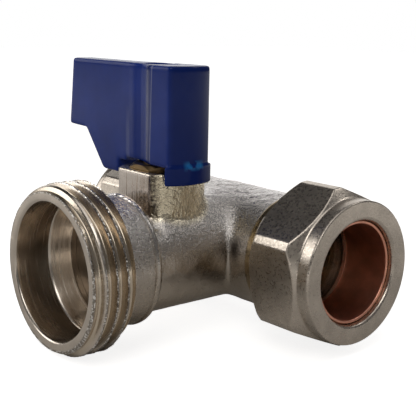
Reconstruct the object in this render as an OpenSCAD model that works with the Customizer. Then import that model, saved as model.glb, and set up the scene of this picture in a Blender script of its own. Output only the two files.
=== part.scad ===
// Tee valve: a straight compression run with a ball valve on its branch.
// X runs along the run, -Y is the outlet, Z is the stem and lever.
// The origin is where the run's axis meets the outlet's axis.

/* [Run] */
// Outside diameter of the run's cast arms
run_d = 19.2; // [18:0.1:20]
// Bore through the run
run_bore_d = 12.8; // [10:0.1:14]
// Distance from the centre to the stop that the pipe meets
pipe_stop_x = 13.2; // [12:0.1:15]
// Outside diameter of the pipe
pipe_d = 15; // [14:0.1:15.2]
// Major diameter of the compression thread
nut_thread_d = 20.2; // [19.8:0.1:20.6]
// Distance from the centre to the start of the compression thread
run_arm_x = 15.9; // [15:0.1:16.4]
// Distance from the centre to the end of the body's arm
run_end_x = 22.6; // [22:0.1:23.2]
// Radius of the arm's flared mouth
mouth_r = 9.3; // [9.2:0.05:9.5]
// Depth of the arm's flared mouth
mouth_l = 4.6; // [4.2:0.1:5]
// Bevel at the end of the arm's thread
arm_bevel = 0.6; // [0.3:0.1:0.7]

/* [Compression nuts] */
// Hexagon across the flats
nut_af = 23; // [22.5:0.1:25]
// Diameter over the flattened corners
nut_corner_d = 25.8; // [25:0.1:26.4]
// Distance from the centre to the rear of the nut
nut_rear_x = 16.2; // [15.9:0.1:17]
// Distance from the centre to the front of the hexagon
nut_hex_x = 25.6; // [24.5:0.1:26.5]
// Distance from the centre to the front face of the nut
nut_face_x = 28.1; // [27.5:0.1:29.5]
// Diameter of the round collar at the front of the nut
nut_collar_d = 22.4; // [21.6:0.1:22.5]
// Turn of the hexagon about the run
nut_turn = 7; // [0:1:60]
// Bevel at the nut's rear corners
rear_bevel = 1.3; // [1:0.1:1.5]
// Bevel round the collar's face
face_edge = 0.15; // [0.1:0.05:0.3]
// Depth of the countersink round the nut's hole
sink_l = 0.4; // [0.2:0.1:0.6]
// Width of that countersink
sink_w = 0.4; // [0.2:0.1:0.6]
// Diameter of the hole in the nut's front
nut_hole_d = 16.3; // [16.1:0.1:17]
// How much further out the left nut and olive sit, done up by hand
left_out = 1.2; // [0:0.1:1.6]
// How far the olive's front sits inside the nut's face
olive_in = 0.9; // [0.5:0.1:1.2]
// Bevel round the olive's front
olive_edge = 0.2; // [0.1:0.05:0.3]
// Room between the end of the arm and the nut's inner cone
arm_room = 0.8; // [0.6:0.1:1]
// Length of the olive
olive_l = 8.4; // [7.6:0.1:8.8]
// Largest diameter of the olive
olive_d = 18.2; // [17.8:0.1:18.6]

/* [Outlet] */
// Major diameter of the outlet thread
outlet_d = 26.44; // [25.4:0.01:27]
// Distance from the run's axis to the outlet's face
outlet_face_y = 37.1; // [36:0.1:40]
// Length of the threaded sleeve
outlet_thread_l = 7.3; // [7:0.1:7.5]
// Bore of the outlet's mouth
outlet_bore_d = 21; // [20:0.1:21.6]
// Depth of the outlet's mouth before it narrows
outlet_bore_l = 6.1; // [5:0.1:7]
// Length of the cone behind the mouth
outlet_cone_l = 3.25; // [2.5:0.05:3.5]
// Width of the lead-in at the front of the thread
outlet_lead = 1.1; // [0.6:0.1:1.4]
// Length of that lead-in
outlet_lead_l = 1.8; // [1.2:0.1:2.2]
// Depth of the outlet's thread
thread_depth = 1.15; // [1:0.05:1.3]
// Distance between the thread's crests
thread_pitch = 1.814; // [1.8:0.001:1.83]
// Width of the flat on each crest
crest_w = 0.4; // [0.2:0.05:0.5]
// Angle between the thread's flanks
thread_angle = 55; // [50:1:60]
// Length over which the thread runs out to the collar
runout = 0.9; // [0.6:0.1:1.2]
// Radius of the rounded edge inside the mouth
lip = 0.9; // [0.6:0.1:1]
// How much smaller the smooth collar is than the outlet's bore
collar_step = 0.4; // [-1:0.1:0.6]
// Length of the smooth collar
collar_l = 5.7; // [5.4:0.1:6]
// Bevel at the rear of the smooth collar
collar_bevel = 0.5; // [0.3:0.1:0.6]

/* [Branch] */
// Outside diameter of the branch
branch_d = 18.2; // [17.8:0.1:19]
// Distance from the run's axis to the stem's axis
stem_y = 16.2; // [16.1:0.05:16.4]
// Diameter of the neck below the lever
neck_d = 13.8; // [13.2:0.1:13.9]
// Width of the neck across its cast sides
neck_w = 12.6; // [12.2:0.1:13]
// Distance from the stem's axis to the milled face of the neck
neck_face_y = 5.5; // [5.1:0.1:6]
// Height of the neck's rim above the run's axis
neck_z = 13.9; // [13.5:0.05:13.95]
// Height of the lever's stop above the neck's rim
stop_h = 1.3; // [1.1:0.1:1.5]

/* [Ball and seats] */
// Diameter of the ball
ball_d = 14.4; // [14:0.1:14.6]
// Bore of the ball
ball_bore_d = 9.5; // [8:0.1:9.8]
// Depth of the flat face at each end of the ball's bore
ball_flat = 1.9; // [1.75:0.05:2.2]
// Room between the ball and the chamber that holds it
chamber_room = 0.3; // [0.3:0.05:0.5]
// How far the seats' backs lie inside the ends of the ball
seat_in = 0.3; // [0.2:0.1:0.5]
// Thickness of the seats
seat_t = 2.5; // [2.2:0.1:2.8]
// How much wider the seats' bore is than the ball's
seat_relief = 0.3; // [0.1:0.1:0.6]
// Diameter of the seat retainer
retainer_d = 18; // [17.6:0.1:18]
// Thickness of the seat retainer's flange
retainer_t = 1.8; // [1.4:0.1:2.2]
// Length of the seat retainer's spigot
retainer_l = 1.7; // [1.4:0.1:1.7]
// Socket in the retainer, across the flats
retainer_af = 11; // [10.6:0.1:11.6]

/* [Stem and gland] */
// Diameter of the stem
stem_d = 6; // [5.8:0.1:6.2]
// Diameter of the stem's foot
stem_foot_d = 8; // [7.6:0.1:8.4]
// Thickness of the stem's foot
stem_foot_t = 1; // [0.8:0.1:1.2]
// Thickness of the tongue that turns the ball
tongue_t = 3; // [2.6:0.1:3.2]
// Length of the tongue
tongue_l = 6; // [5.4:0.1:6.4]
// Depth of the tongue in the ball
tongue_z = 2; // [1.6:0.1:2.2]
// Square of the stem that drives the lever
stem_sq = 4.2; // [4:0.05:4.2]
// Height of the stem's top above the run's axis
stem_top_z = 21; // [20:0.1:22]
// Thickness of the thrust washer
thrust_t = 0.5; // [0.4:0.05:0.6]
// Diameter of the O-ring's cord
o_ring_cord = 0.85; // [0.75:0.05:0.9]
// Extra width of the O-ring's groove
groove_room = 0.15; // [0.1:0.05:0.2]
// Height of the bottom of the gland's chamber
gland_z = 10.4; // [10.3:0.1:10.6]
// Diameter of the gland's thread
gland_d = 8.6; // [8.2:0.1:9]
// Thickness of the packing ring
packing_t = 1.2; // [1:0.1:1.4]
// Gland nut, across the flats
gland_af = 9; // [8.6:0.1:9.2]
// Height of the gland nut's head
gland_head = 0.75; // [0.6:0.05:0.8]

/* [Lever] */
// Height of the lever's top above the run's axis
lever_top_z = 30.3; // [29:0.1:33]
// Height of the lever's underside
lever_under_z = 14.8; // [14.8:0.05:15]
// Thickness of the lever's hub
hub_t = 8; // [7.8:0.1:8.4]
// Diameter of the hub's rounded end
hub_d = 15.8; // [15:0.1:15.9]
// Distance from the stem's axis to the edge where the hub starts to narrow
hub_shoulder = 2.2; // [1.6:0.1:3]
// Distance from the stem's axis to the edge where the wing starts
wing_start = 3.6; // [3:0.1:5]
// Thickness of the wing
wing_t = 4.2; // [3.8:0.1:4.8]
// Distance from the stem's axis to the wing's end, at its top
wing_top = 23.1; // [22:0.1:28]
// Distance from the stem's axis to the wing's end, at its bottom
wing_end = 24.4; // [23:0.1:29]
// Height of the wing's bottom edge
wing_z = 18.7; // [18:0.05:20]
// Distance from the stem's axis to the step in the wing
wing_step = 19.1; // [18.6:0.1:20]
// Distance from the stem's axis to the inside of the tab
tab_in = 9.1; // [8.9:0.1:10]
// Distance from the stem's axis to the outside of the tab
tab_out = 13.8; // [12.8:0.1:14.2]
// Height of the tab's bottom
tab_z = 12; // [11.8:0.1:12.2]
// Bevel at the tab's lower corner
tab_bevel = 0.4; // [0.2:0.1:0.6]
// Drop of the step's end below the wing's lower corner
step_drop = 0.2; // [0:0.1:0.4]
// Outside diameter of the skirt
skirt_d = 16.2; // [16:0.1:16.6]
// Wall of the skirt
skirt_wall = 0.95; // [0.8:0.05:1]
// Height of the skirt's bottom
skirt_z = 12.2; // [12.1:0.05:12.6]
// Height of the seam between the skirt and the hub
skirt_top_z = 15.2; // [15:0.1:16]
// Distance from the stem's axis to the cut ends of the skirt
skirt_x = 6.5; // [6:0.1:6.9]
// Depth of the screw's counterbore
screw_well = 7.3; // [6:0.1:8.5]
// Diameter of the screw's counterbore
screw_well_d = 5.2; // [5:0.1:5.4]
// Radius of the lever's upright edges
lever_round = 0.5; // [0.3:0.1:0.8]

/* [Lever screw] */
// Thread diameter of the lever screw
screw_d = 2.5; // [2.3:0.1:2.6]
// Length of the screw below its head
screw_l = 7; // [6:0.1:8]
// Diameter of the screw's head
screw_head_d = 4.6; // [4.2:0.1:4.8]
// Height of the screw's head
screw_head_h = 2; // [1.6:0.1:2.4]
// Width of the cross recess's slots
recess_w = 0.7; // [0.6:0.05:0.9]
// Depth of the cross recess
recess_depth = 1.1; // [0.8:0.1:1.4]
// Room round the screw in the lever
screw_room = 0.2; // [0.1:0.05:0.3]
// Depth of the tapped hole past the screw's tip
tip_room = 0.5; // [0.3:0.1:1]
// Thickness of the washer under the screw's head
washer_t = 0.5; // [0.4:0.1:0.8]

/* [Hidden] */
$fn = 96;

// Small clearances shared by the fits
slip = 0.05;
gap = 0.1;
ease = 0.01;
over = 1;
sleeve_y = outlet_face_y - outlet_thread_l;
collar_y = sleeve_y - collar_l;
collar_d = outlet_bore_d - collar_step;
ball_r = ball_d / 2;
chamber_d = ball_d + 2 * chamber_room;
seat_back = ball_r - seat_in;
seat_front = seat_back - seat_t;
seat_bore_d = ball_bore_d + seat_relief;
chamber_back_y = stem_y - seat_back;
retainer_y = stem_y + seat_back;
retainer_seat_y = retainer_y + retainer_l;
slot_z = ball_r - tongue_z;
foot_z = ball_r + gap;
thrust_z = foot_z + stem_foot_t;
foot_top_z = thrust_z + thrust_t;
o_ring_z = (foot_top_z + gland_z) / 2;
gland_screw_z = gland_z + packing_t;
gland_seat_z = neck_z + gap / 2;
gland_top_z = gland_seat_z + gland_head;
square_z = gland_top_z + gap / 2;
under_gap = 0.3;
socket_top_z = stem_top_z + gap;
well_z = lever_top_z - screw_well;
head_z = well_z + washer_t;
olive_front_x = nut_face_x - olive_in;
olive_rear_x = olive_front_x - olive_l;
pipe_r = pipe_d / 2 + slip;
olive_nose_r = nut_hole_d / 2 - gap;
thread_top_x = run_end_x + arm_room;
cone_l = (nut_thread_d - nut_hole_d) / 2;
// The hexagon's turn from where the nut's round surfaces start
hex_start = 23;
brass = [0.72, 0.69, 0.63];

// Turns a shape made about Z so that its top points along X
module along_x() {
    rotate([0, 90, 0]) children();
}

// Turns a shape made about Z so that its top points to the outlet
module to_outlet() {
    rotate([90, 0, 0]) children();
}

// Carries a shape to the stem's axis
module on_stem() {
    translate([0, -stem_y, 0]) children();
}

// A ring about Z between two heights
module ring(outer_r, inner_r, z0, z1) {
    translate([0, 0, z0]) difference() {
        cylinder(r = outer_r, h = z1 - z0);
        translate([0, 0, -over]) cylinder(r = inner_r, h = z1 - z0 + 2 * over);
    }
}

// Outline of the neck: round, with cast sides and a milled face to the outlet
module neck_outline() {
    intersection() {
        circle(d = neck_d);
        translate([-neck_w / 2, -neck_face_y]) square([neck_w, neck_face_y + neck_d]);
    }
}

// Outline of the stop that the hub's flanks meet when closed and when open
module stop_outline() {
    intersection() {
        neck_outline();
        translate([wing_t / 2 + slip, hub_t / 2 + slip]) square(neck_d);
        difference() {
            circle(d = 2 * neck_d);
            circle(r = gland_af / 2 / cos(30) + gap);
        }
    }
}

// Castings of the run and the branch
module body_casting() {
    along_x() translate([0, 0, -run_arm_x]) cylinder(d = run_d, h = 2 * run_arm_x);
    for (side = [-90, 90]) rotate([0, side, 0]) {
        translate([0, 0, run_arm_x - over])
            cylinder(d = nut_thread_d, h = run_end_x - run_arm_x + over - arm_bevel);
        translate([0, 0, run_end_x - arm_bevel])
            cylinder(d1 = nut_thread_d, d2 = nut_thread_d - 2 * arm_bevel, h = arm_bevel);
    }
    to_outlet() {
        cylinder(d = branch_d, h = collar_y);
        outlet_sleeve();
    }
    on_stem() neck();
}

// Collar and threaded sleeve, turned in one piece
module outlet_sleeve() {
    intersection() {
        rotate_extrude() polygon([
            [0, collar_y - over], [branch_d / 2, collar_y - over], [branch_d / 2, collar_y],
            [collar_d / 2 - collar_bevel, collar_y], [collar_d / 2, collar_y + collar_bevel],
            [collar_d / 2, sleeve_y], [outlet_d / 2, sleeve_y],
            [outlet_d / 2, outlet_face_y - outlet_lead_l],
            [outlet_d / 2 - outlet_lead, outlet_face_y], [0, outlet_face_y]]);
        outlet_crests();
    }
}

// The outlet thread's crests and roots, as rings at the thread's pitch
module outlet_crests() {
    crest_r = outlet_d / 2;
    root_r = crest_r - thread_depth;
    first_y = sleeve_y + runout + crest_w / 2;
    top = crest_w / 2;
    foot = top + thread_depth * tan(thread_angle / 2);
    rotate_extrude() polygon(concat(
        [[0, 0], [crest_r + over, 0], [crest_r + over, sleeve_y], [root_r, sleeve_y]],
        [for (k = [0:3], corner = [[root_r, -foot], [crest_r, -top], [crest_r, top], [root_r, foot]])
            [corner[0], first_y + k * thread_pitch + corner[1]]],
        [[root_r, outlet_face_y + over], [0, outlet_face_y + over]]));
}

module neck() {
    linear_extrude(neck_z) neck_outline();
    linear_extrude(neck_z + stop_h) stop_outline();
}

// Everything that is bored out of the casting
module body_bores() {
    along_x() translate([0, 0, -run_end_x - over]) cylinder(d = run_bore_d, h = 2 * (run_end_x + over));
    for (side = [-90, 90]) rotate([0, side, 0]) {
        translate([0, 0, pipe_stop_x]) cylinder(r = pipe_r, h = run_end_x);
        translate([0, 0, run_end_x - mouth_l]) cylinder(r1 = pipe_r, r2 = mouth_r, h = mouth_l);
        translate([0, 0, run_end_x - slip]) cylinder(r = mouth_r, h = over);
    }
    to_outlet() {
        cylinder(d = ball_bore_d, h = stem_y);
        translate([0, 0, chamber_back_y]) cylinder(d = chamber_d, h = outlet_face_y - chamber_back_y);
        translate([0, 0, retainer_seat_y]) cylinder(r = retainer_d / 2 + slip, h = outlet_face_y);
        outlet_mouth();
    }
    on_stem() {
        cylinder(r = stem_foot_d / 2 + gap, h = foot_top_z);
        cylinder(r = stem_d / 2 + slip, h = lever_under_z);
        translate([0, 0, gland_z]) cylinder(d = gland_d + 2 * slip, h = neck_z);
    }
}

// Mouth of the outlet, with a rounded front edge and a cone behind it
module outlet_mouth() {
    cone_y = outlet_face_y - outlet_bore_l;
    rotate_extrude() polygon(concat(
        [[0, cone_y - outlet_cone_l], [retainer_d / 2 + slip, cone_y - outlet_cone_l],
            [outlet_bore_d / 2 - 0.3, cone_y], [outlet_bore_d / 2, cone_y]],
        [for (a = [0:15:90]) [outlet_bore_d / 2 + lip * (1 - cos(a)), outlet_face_y - lip + lip * sin(a)]],
        [[outlet_bore_d / 2 + lip, outlet_face_y + over], [0, outlet_face_y + over]]));
}

module valve_body() {
    color(brass) difference() {
        body_casting();
        body_bores();
    }
}

// Ball with a slot in its top for the stem's tongue
module ball() {
    color("lightgray") on_stem() difference() {
        intersection() {
            sphere(r = ball_r);
            cube([2 * (ball_r - ball_flat), ball_d, ball_d], center = true);
        }
        along_x() translate([0, 0, -ball_d]) cylinder(d = ball_bore_d, h = 2 * ball_d);
        translate([-tongue_t / 2 - slip, -ball_d / 2, slot_z])
            cube([tongue_t + 2 * slip, ball_d, ball_d]);
    }
}

// Seat ring with its hollow face against the ball
module seat() {
    difference() {
        translate([0, 0, seat_front]) cylinder(d = chamber_d - 2 * slip, h = seat_back - seat_front);
        cylinder(d = seat_bore_d, h = ball_d);
        sphere(r = ball_r + slip);
    }
}

module inlet_seat() {
    color("white") on_stem() rotate([-90, 0, 0]) seat();
}

module outlet_seat() {
    color("white") on_stem() to_outlet() seat();
}

// Screwed ring that holds the outlet seat against the ball
module seat_retainer() {
    color("goldenrod") to_outlet() difference() {
        union() {
            translate([0, 0, retainer_y]) cylinder(d = chamber_d - 2 * slip, h = retainer_l + gap);
            translate([0, 0, retainer_seat_y]) cylinder(d = retainer_d, h = retainer_t);
        }
        cylinder(d = seat_bore_d, h = outlet_face_y);
        translate([0, 0, retainer_seat_y]) cylinder(d = retainer_af / cos(30), h = outlet_face_y, $fn = 6);
    }
}

// Stem with its tongue, foot, O-ring groove, square drive and tapped hole
module stem() {
    groove = o_ring_cord + groove_room;
    color("goldenrod") on_stem() difference() {
        union() {
            translate([-tongue_t / 2, -tongue_l / 2, slot_z + gap])
                cube([tongue_t, tongue_l, foot_z - slot_z - gap + stem_foot_t / 2]);
            translate([0, 0, foot_z]) cylinder(d = stem_foot_d, h = stem_foot_t);
            translate([0, 0, foot_z]) cylinder(d = stem_d, h = square_z - foot_z);
            translate([-stem_sq / 2, -stem_sq / 2, foot_z]) cube([stem_sq, stem_sq, stem_top_z - foot_z]);
        }
        ring(stem_d, stem_d / 2 - o_ring_cord, o_ring_z - groove / 2, o_ring_z + groove / 2);
        translate([0, 0, head_z - screw_l - tip_room]) cylinder(d = screw_d, h = stem_top_z);
    }
}

module thrust_washer() {
    color("white") on_stem() ring(stem_foot_d / 2, stem_d / 2 + slip, thrust_z, foot_top_z);
}

module stem_o_ring() {
    color("black") on_stem() translate([0, 0, o_ring_z])
        rotate_extrude() translate([stem_d / 2 + slip - ease - o_ring_cord / 2, 0])
            circle(d = o_ring_cord, $fn = 24);
}

module gland_packing() {
    color("white") on_stem() ring(gland_d / 2, stem_d / 2 + slip, gland_z, gland_screw_z);
}

// Gland nut, screwed into the neck with its hexagon on the rim
module gland_nut() {
    color("darkgoldenrod") on_stem() difference() {
        union() {
            translate([0, 0, gland_screw_z])
                cylinder(d = gland_d, h = gland_seat_z - gland_screw_z + gland_head / 2);
            intersection() {
                translate([0, 0, gland_seat_z]) cylinder(d = gland_af / cos(30), h = gland_head, $fn = 6);
                translate([0, 0, gland_seat_z])
                    cylinder(r1 = gland_af / 2 + gland_head, r2 = gland_af / 2, h = gland_head);
            }
        }
        translate([0, 0, gland_z]) cylinder(r = stem_d / 2 + slip, h = lever_under_z);
    }
}

// Side outline of the lever, with the stem's axis at zero
module lever_side() {
    polygon([
        [hub_d, lever_under_z], [hub_d, lever_top_z], [-wing_top, lever_top_z],
        [-wing_end, wing_z], [-wing_step, wing_z - step_drop], [-tab_out - tab_bevel, tab_z + tab_bevel],
        [-tab_out, tab_z], [-tab_in, tab_z], [-tab_in, neck_z + under_gap],
        [-neck_d / 2, neck_z + under_gap], [-neck_d / 2, lever_under_z]]);
}

// Plan outline of the lever: a thick hub with a round end that narrows to the wing
module lever_plan() {
    hub_y = hub_t / 2;
    wing_y = wing_t / 2;
    r = lever_round;
    intersection() {
        polygon([
            [hub_d, -hub_y], [hub_d, hub_y], [hub_shoulder, hub_y], [-wing_start, wing_y],
            [r - wing_end, wing_y], [-wing_end, wing_y - r], [-wing_end, r - wing_y],
            [r - wing_end, -wing_y], [-wing_start, -wing_y], [hub_shoulder, -hub_y]]);
        union() {
            circle(d = hub_d);
            translate([-2 * wing_end, -hub_d]) square([2 * wing_end, 2 * hub_d]);
        }
    }
}

// Skirt round the neck on the side away from the wing
module lever_skirt() {
    skirt_r = skirt_d / 2;
    intersection() {
        union() {
            ring(skirt_r, skirt_r - skirt_wall, skirt_z, skirt_top_z);
            translate([0, 0, lever_under_z]) cylinder(r = skirt_r, h = skirt_top_z - lever_under_z);
        }
        translate([skirt_x, -skirt_d, 0]) cube([skirt_d, 2 * skirt_d, lever_top_z]);
    }
}

module lever_handle() {
    color("mediumblue") on_stem() difference() {
        union() {
            intersection() {
                linear_extrude(lever_top_z + over) lever_plan();
                translate([0, hub_t, 0]) rotate([90, 0, 0]) linear_extrude(2 * hub_t) lever_side();
            }
            lever_skirt();
        }
        translate([-stem_sq / 2 - slip, -stem_sq / 2 - slip, 0])
            cube([stem_sq + 2 * slip, stem_sq + 2 * slip, socket_top_z]);
        cylinder(r = stem_d / 2 + gap, h = square_z + gap);
        cylinder(r = screw_d / 2 + screw_room, h = lever_top_z);
        translate([0, 0, well_z]) cylinder(d = screw_well_d, h = screw_well + over);
    }
}

module lever_washer() {
    color("silver") on_stem() ring(screw_well_d / 2 - gap, screw_d / 2 + gap, well_z, head_z);
}

// Pan head screw with a cross recess
module lever_screw() {
    color("silver") on_stem() difference() {
        union() {
            translate([0, 0, head_z - screw_l]) cylinder(d = screw_d, h = screw_l + screw_head_h / 4);
            translate([0, 0, head_z]) cylinder(d = screw_head_d, h = screw_head_h / 2);
            translate([0, 0, head_z + screw_head_h / 2])
                cylinder(d1 = screw_head_d, d2 = screw_head_d * 0.6, h = screw_head_h / 2);
        }
        translate([0, 0, head_z + screw_head_h]) for (turn = [0, 90]) rotate(turn)
            cube([screw_head_d / 2, recess_w, 2 * recess_depth], center = true);
    }
}

// Compression nut, made about Z with its face at the top
module nut() {
    corner_r = nut_corner_d / 2 + slip;
    front_bevel = (nut_corner_d - nut_collar_d) / 2;
    rotate(nut_turn - hex_start) difference() {
        union() {
            intersection() {
                translate([0, 0, nut_rear_x]) rotate(hex_start)
                    cylinder(d = nut_af / cos(30), h = nut_hex_x - nut_rear_x, $fn = 6);
                translate([0, 0, nut_rear_x]) rotate(hex_start + 30)
                    cylinder(d = nut_corner_d / cos(30), h = nut_hex_x - nut_rear_x, $fn = 6);
                rotate_extrude() polygon([
                    [0, nut_rear_x], [nut_corner_d / 2 - rear_bevel, nut_rear_x],
                    [corner_r, nut_rear_x + rear_bevel], [corner_r, nut_hex_x - front_bevel],
                    [nut_collar_d / 2, nut_hex_x], [0, nut_hex_x]]);
            }
            rotate_extrude() polygon([
                [0, nut_rear_x], [nut_collar_d / 2 - rear_bevel, nut_rear_x],
                [nut_collar_d / 2, nut_rear_x + rear_bevel], [nut_collar_d / 2, nut_face_x - face_edge],
                [nut_collar_d / 2 - face_edge, nut_face_x], [0, nut_face_x]]);
        }
        cylinder(d = nut_hole_d, h = nut_face_x + over);
        translate([0, 0, nut_face_x - sink_l])
            cylinder(d1 = nut_hole_d, d2 = nut_hole_d + 2 * sink_w, h = sink_l + ease);
        cylinder(r = nut_thread_d / 2 + slip, h = thread_top_x);
        translate([0, 0, thread_top_x - slip])
            cylinder(r1 = nut_thread_d / 2 + slip, r2 = nut_hole_d / 2, h = cone_l);
    }
}

// Copper olive, made about Z, tapered at both ends
module olive() {
    flare = (mouth_r - pipe_r) / mouth_l;
    tail_r = pipe_r + (olive_rear_x - run_end_x + mouth_l) * flare - gap;
    waist_r = olive_d / 2 - gap;
    rear_waist_x = olive_rear_x + (waist_r - tail_r) / flare;
    front_waist_x = thread_top_x + cone_l - (olive_d - nut_hole_d) / 2;
    rotate_extrude() polygon([
        [pipe_r, olive_rear_x], [tail_r, olive_rear_x], [waist_r, rear_waist_x],
        [waist_r, front_waist_x - gap], [olive_nose_r, thread_top_x + cone_l],
        [olive_nose_r, olive_front_x - olive_edge], [olive_nose_r - olive_edge, olive_front_x],
        [pipe_r, olive_front_x]]);
}

module right_nut() {
    color(brass) along_x() nut();
}

module right_olive() {
    color("peru") along_x() olive();
}

module left_nut() {
    color(brass) rotate([0, -90, 0]) translate([0, 0, left_out]) nut();
}

module left_olive() {
    color("peru") rotate([0, -90, 0]) translate([0, 0, left_out]) olive();
}

valve_body();
ball();
inlet_seat();
outlet_seat();
seat_retainer();
stem();
thrust_washer();
stem_o_ring();
gland_packing();
gland_nut();
lever_handle();
lever_washer();
lever_screw();
right_nut();
right_olive();
left_nut();
left_olive();
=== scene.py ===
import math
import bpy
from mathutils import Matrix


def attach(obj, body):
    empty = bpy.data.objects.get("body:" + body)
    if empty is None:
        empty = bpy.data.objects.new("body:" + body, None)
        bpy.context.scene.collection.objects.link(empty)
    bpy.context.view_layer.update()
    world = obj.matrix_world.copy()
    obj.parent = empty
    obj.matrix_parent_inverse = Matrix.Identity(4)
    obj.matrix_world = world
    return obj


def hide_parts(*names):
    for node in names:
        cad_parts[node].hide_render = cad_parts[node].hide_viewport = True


bl_info = {
    "name": "Tee valve looks",
    "version": (1, 0, 0),
    "blender": (4, 5, 0),
    "location": "View3D > Sidebar > Tee valve",
    "description": "Builds the visible surfaces, finishes, light and camera of a plated tee valve",
    "category": "Object",
}

import bpy
import numpy as np
from bpy.props import FloatProperty, FloatVectorProperty, IntProperty, PointerProperty
from mathutils import Matrix, Vector

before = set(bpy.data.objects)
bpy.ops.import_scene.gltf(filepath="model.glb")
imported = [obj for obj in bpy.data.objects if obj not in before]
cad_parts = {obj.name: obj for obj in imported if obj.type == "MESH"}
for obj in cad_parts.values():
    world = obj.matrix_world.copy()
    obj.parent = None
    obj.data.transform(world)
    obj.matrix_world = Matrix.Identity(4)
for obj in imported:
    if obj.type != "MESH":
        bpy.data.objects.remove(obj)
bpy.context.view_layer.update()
MM = 0.001


# Sizes in millimetres, measured from the run's and the outlet's crossing

STEM_Y = -16.2
RUN_R = 9.6
BRANCH_R = 9.12
PIPE_R = 7.55
CAST_ARM_END = 15.95
CAST_BRANCH_END = 24.6
NECK_TOP = 13.9
OUTLET_FACE = 37.09
NUT_REAR = 16.15
NUT_FACE = 28.09
COLLAR_R = 11.2
LEFT_OUT = 1.2


class ValveSizes(bpy.types.PropertyGroup):
    pitch: FloatProperty(
        name="Outlet thread pitch", description="Distance between crests, in millimetres", default=1.8143)
    crest: FloatProperty(
        name="Crest radius", description="Radius over the outlet's crests, in millimetres", default=13.22)
    root: FloatProperty(
        name="Root radius", description="Radius at the outlet's roots, in millimetres", default=12.0)
    cell: FloatProperty(
        name="Casting cell", description="Grid step of the casting's surface, in millimetres", default=0.28)
    lever_cell: FloatProperty(
        name="Lever cell", description="Grid step of the lever's surface, in millimetres", default=0.22)
    around: IntProperty(
        name="Steps round", description="Steps round each turned piece", default=360)
    hex_turn: FloatProperty(
        name="Hexagon turn", description="Turn of the nuts' corners from the outlet side",
        default=math.radians(23.2), subtype="ANGLE")


class ValveColours(bpy.types.PropertyGroup):
    nickel: FloatVectorProperty(
        name="Nickel", description="Plating on the nuts and turned faces",
        default=(0.62, 0.545, 0.46), size=3, subtype="COLOR")
    casting: FloatVectorProperty(
        name="Casting", description="Plating on the cast skin",
        default=(0.58, 0.515, 0.44), size=3, subtype="COLOR")
    copper: FloatVectorProperty(
        name="Copper", description="Bare copper of the olives",
        default=(0.93, 0.46, 0.32), size=3, subtype="COLOR")
    # painted shade: this brass is darkened to the gland's shade under the lever
    brass: FloatVectorProperty(
        name="Brass", description="Bare brass of the gland and stem",
        default=(0.19, 0.125, 0.06), size=3, subtype="COLOR")
    lever: FloatVectorProperty(
        name="Lever", description="Blue plastic of the lever",
        default=(0.010, 0.030, 0.20), size=3, subtype="COLOR")


# Mesh helpers


def loop_faces(rows, cols):
    """Quads of a grid that closes on itself both ways: rows round the profile, cols round the axis."""
    i, j = np.meshgrid(np.arange(rows), np.arange(cols), indexing="ij")
    i2, j2 = (i + 1) % rows, (j + 1) % cols
    return np.stack([i * cols + j, i2 * cols + j, i2 * cols + j2, i * cols + j2], -1).reshape(-1, 4)


def outward(verts, faces):
    """Faces in the order that points them out: the signed volume, summed over the faces' fans, is positive."""
    a, b, c, d = (verts[faces[:, k]] for k in range(4))
    volume = np.einsum("ij,ij->i", a, np.cross(b, c)).sum() + np.einsum("ij,ij->i", a, np.cross(c, d)).sum()
    return faces if volume > 0 else faces[:, ::-1]


def put_mesh(name, verts_mm, faces, material, sharp_degrees):
    """An object from whole arrays of points in millimetres and quads. Edges that turn by more than the given degrees
    are shaded sharp."""
    faces = outward(verts_mm, faces)
    mesh = bpy.data.meshes.new(name)
    mesh.vertices.add(len(verts_mm))
    mesh.vertices.foreach_set("co", (verts_mm * MM).astype(np.float32).ravel())
    mesh.loops.add(faces.size)
    mesh.loops.foreach_set("vertex_index", faces.astype(np.int32).ravel())
    mesh.polygons.add(len(faces))
    mesh.polygons.foreach_set("loop_start", (np.arange(len(faces)) * faces.shape[1]).astype(np.int32))
    mesh.update(calc_edges=True)
    mesh.validate()
    mesh.shade_smooth()
    mesh.materials.append(material)
    obj = bpy.data.objects.new(name, mesh)
    bpy.context.scene.collection.objects.link(obj)
    mesh.set_sharp_from_angle(angle=math.radians(sharp_degrees))
    return obj


def turned(along, radius, axis, angles):
    """Points of a turned loop: at distance s along the axis and radius r(s, a), the point is
    (r cos a, -s, r sin a) for the outlet and (s, r cos a, r sin a) for the run."""
    s = np.broadcast_to(along[:, None], radius.shape)
    c, n = radius * np.cos(angles), radius * np.sin(angles)
    parts = (c, -s, n) if axis == "outlet" else (s, c, n)
    return np.stack(parts, -1).reshape(-1, 3)


def round_steps(times=1):
    """The angles round a turned piece."""
    return np.linspace(0, 2 * np.pi, times * sizes().around, endpoint=False)


def arc(centre_s, centre_r, size, start, end, count):
    """Points of a profile's rounded edge: centre plus size times (cos t, sin t) from start to end degrees."""
    t = np.radians(np.linspace(start, end, count))
    return np.stack([centre_s + size * np.cos(t), centre_r + size * np.sin(t)], 1)


def dense(points, step):
    """A profile with extra points, so that no stretch between two is longer than step."""
    points = np.asarray(points, float)
    gaps = np.linalg.norm(np.diff(points, axis=0), axis=1)
    at = np.concatenate([[0], np.cumsum(gaps)])
    extra = [
        np.linspace(at[k], at[k + 1], max(1, int(np.ceil(gaps[k] / step))), endpoint=False) for k in range(len(gaps))
    ]
    t = np.concatenate(extra + [[at[-1]]])
    return np.stack([np.interp(t, at, points[:, 0]), np.interp(t, at, points[:, 1])], 1)


def soft_min(a, b, k):
    """The lower of two heights, with their crossing rounded over k."""
    h = np.maximum(k - np.abs(a - b), 0) / k
    return np.minimum(a, b) - h * h * k / 4


def soft_max(a, b, k):
    """The higher of two heights, with their crossing rounded over k."""
    return -soft_min(-a, -b, k)


def rise(value, start, length):
    """From 0 at the start to 1 a length further on."""
    return np.clip((value - start) / length, 0, 1)


# Solids from a distance field


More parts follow.
